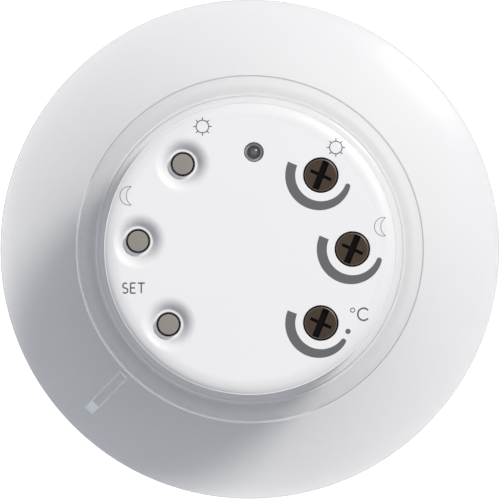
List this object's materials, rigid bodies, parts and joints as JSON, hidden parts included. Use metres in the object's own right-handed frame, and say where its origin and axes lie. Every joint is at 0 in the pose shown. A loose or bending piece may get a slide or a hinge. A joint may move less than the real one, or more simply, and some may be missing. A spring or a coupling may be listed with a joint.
{
  "type": "sun sensor",
  "caption": "Round window-mounted sun sensor: white cap with push buttons, trimmers and a status lamp, held in a flared clear suction cup.",
  "frame": {"origin": "centre of the suction cup's rim, on the window pane", "axes": "+Z away from the pane into the room, +X towards the trimmers, +Y towards the status lamp"},
  "size_m": [0.075, 0.075, 0.021],
  "materials": {
    "cup_pvc": "clear soft plastic, frosted",
    "white_abs": "white, fine satin",
    "window_clear": "clear, polished",
    "seal_rubber": "matt black",
    "board_laminate": "green solder resist",
    "cell_silicon": "dark brown-violet behind glass",
    "lead_wire": "red insulation",
    "bright_steel": "nickel plated",
    "black_plastic": "black",
    "sensor_epoxy": "dark filter epoxy",
    "bead_glass": "green dipped bead",
    "button_plastic": "warm grey",
    "trimmer_plastic": "dark brown",
    "rotor_plastic": "dark brown, worn smooth",
    "lamp_lens": "smoke grey",
    "aerial_wire": "enamelled copper",
    "capacitor_epoxy": "yellow epoxy"
  },
  "bodies": {
    "cup": {"suction_cup": "cup_pvc"},
    "housing": {"rear_cap": "white_abs", "base_shell": "white_abs", "front_window": "window_clear", "seal_ring": "seal_rubber", "circuit_board": "board_laminate", "cell_carrier": "white_abs", "solar_cell": "cell_silicon", "solar_leads": "lead_wire", "storage_cell": "bright_steel", "cell_tab_upper": "bright_steel", "cell_tab_lower": "bright_steel", "light_sensor": "sensor_epoxy", "sensor_tube": "black_plastic", "temperature_sensor": "bead_glass", "switch_sun": "black_plastic", "switch_moon": "black_plastic", "switch_prog": "black_plastic", "switch_covers": "bright_steel", "switch_terminals": "bright_steel", "dome_sun": "bright_steel", "dome_moon": "bright_steel", "dome_prog": "bright_steel", "trimmer_sun": "trimmer_plastic", "trimmer_moon": "trimmer_plastic", "trimmer_temperature": "trimmer_plastic", "status_lamp": "lamp_lens", "lamp_leads": "bright_steel", "radio_board": "board_laminate", "radio_shield": "bright_steel", "aerial": "aerial_wire", "controller_chip": "black_plastic", "crystal": "bright_steel", "buffer_capacitors": "capacitor_epoxy"},
    "sun_button": {"button_sun": "button_plastic"},
    "moon_button": {"button_moon": "button_plastic"},
    "prog_button": {"button_prog": "button_plastic"},
    "sun_rotor": {"rotor_sun": "rotor_plastic"},
    "moon_rotor": {"rotor_moon": "rotor_plastic"},
    "temperature_rotor": {"rotor_temperature": "rotor_plastic"}
  },
  "joints": [
    {"name": "cup_press", "type": "slide", "parent": "cup", "child": "housing", "axis": [0, 0, -1], "range_m": [0, 0.004], "stiffness_N_per_m": 6000, "deforming": ["suction_cup"]},
    {"name": "sun_button_press", "type": "slide", "parent": "housing", "child": "sun_button", "axis": [0, 0, -1], "range_m": [0, 0.00025], "stiffness_N_per_m": 6000, "deforming": ["dome_sun"]},
    {"name": "moon_button_press", "type": "slide", "parent": "housing", "child": "moon_button", "axis": [0, 0, -1], "range_m": [0, 0.00025], "stiffness_N_per_m": 6000, "deforming": ["dome_moon"]},
    {"name": "prog_button_press", "type": "slide", "parent": "housing", "child": "prog_button", "axis": [0, 0, -1], "range_m": [0, 0.00025], "stiffness_N_per_m": 6000, "deforming": ["dome_prog"]},
    {"name": "sun_trim", "type": "hinge", "parent": "housing", "child": "sun_rotor", "pos_m": [0.01065, 0.0111, 0.0185], "axis": [0, 0, 1], "range_deg": [-105, 105]},
    {"name": "moon_trim", "type": "hinge", "parent": "housing", "child": "moon_rotor", "pos_m": [0.01538, 0, 0.0185], "axis": [0, 0, 1], "range_deg": [-105, 105]},
    {"name": "temperature_trim", "type": "hinge", "parent": "housing", "child": "temperature_rotor", "pos_m": [0.01065, -0.0111, 0.0185], "axis": [0, 0, 1], "range_deg": [-105, 105]}
  ]
}
